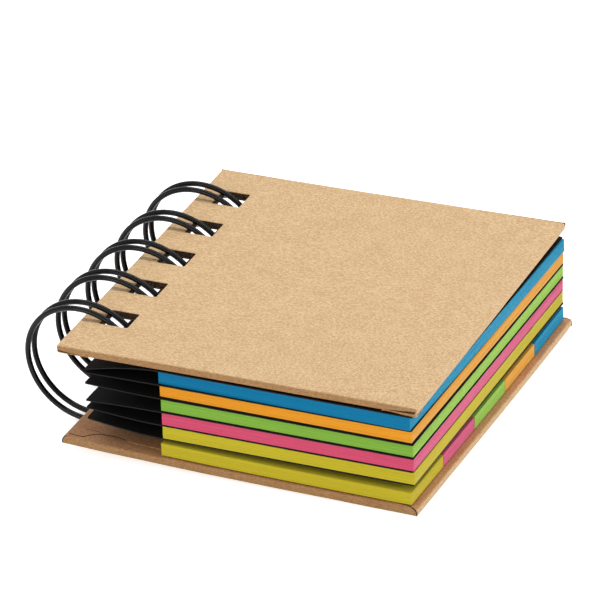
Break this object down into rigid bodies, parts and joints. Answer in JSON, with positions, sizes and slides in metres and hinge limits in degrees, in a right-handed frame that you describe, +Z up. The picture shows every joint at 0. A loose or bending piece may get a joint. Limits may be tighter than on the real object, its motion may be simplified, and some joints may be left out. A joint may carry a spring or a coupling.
{
  "type": "spiral notepad",
  "caption": "Small wire-bound notepad with wrapped board covers, black card leaves, coloured sticky note pads and a row of page flag pads.",
  "frame": {"origin": "under the middle of the whole closed book, level with the lowest point of the wire loops", "axes": "+X from the spine to the fore edge, +Y along the spine, away from the reader, +Z up through the front cover"},
  "size_m": [0.0851, 0.0784, 0.025],
  "materials": {
    "kraft_board": "matt brown wrapping paper over board",
    "kraft_paper": "matt brown paper",
    "black_card": "matt black card",
    "coated_wire": "glossy black coating on steel wire",
    "blue_paper": "matt blue note paper",
    "orange_paper": "matt orange note paper",
    "green_paper": "matt green note paper",
    "pink_paper": "matt pink note paper",
    "yellow_paper": "matt yellow note paper"
  },
  "bodies": {
    "leaf_block": {"leaf_1": "black_card", "leaf_2": "black_card", "leaf_3": "black_card", "leaf_4": "black_card", "leaf_5": "black_card", "leaf_6": "black_card", "blue_notes": "blue_paper", "orange_notes": "orange_paper", "green_notes": "green_paper", "pink_notes": "pink_paper", "yellow_notes": "yellow_paper", "binding_wire": "coated_wire"},
    "front_board": {"front_cover": "kraft_board", "front_lining": "kraft_paper"},
    "back_board": {"back_cover": "kraft_board", "back_lining": "kraft_paper", "yellow_flags": "yellow_paper", "pink_flags": "pink_paper", "green_flags": "green_paper", "orange_flags": "orange_paper", "blue_flags": "blue_paper"}
  },
  "joints": [
    {"name": "front_cover_hinge", "type": "hinge", "parent": "leaf_block", "child": "front_board", "pos_m": [-0.03004, -0.00028, 0.01253], "axis": [0, -1, 0], "range_deg": [0, 180]},
    {"name": "back_cover_hinge", "type": "hinge", "parent": "leaf_block", "child": "back_board", "pos_m": [-0.03004, -0.00028, 0.01253], "axis": [0, 1, 0], "range_deg": [0, 180]}
  ]
}
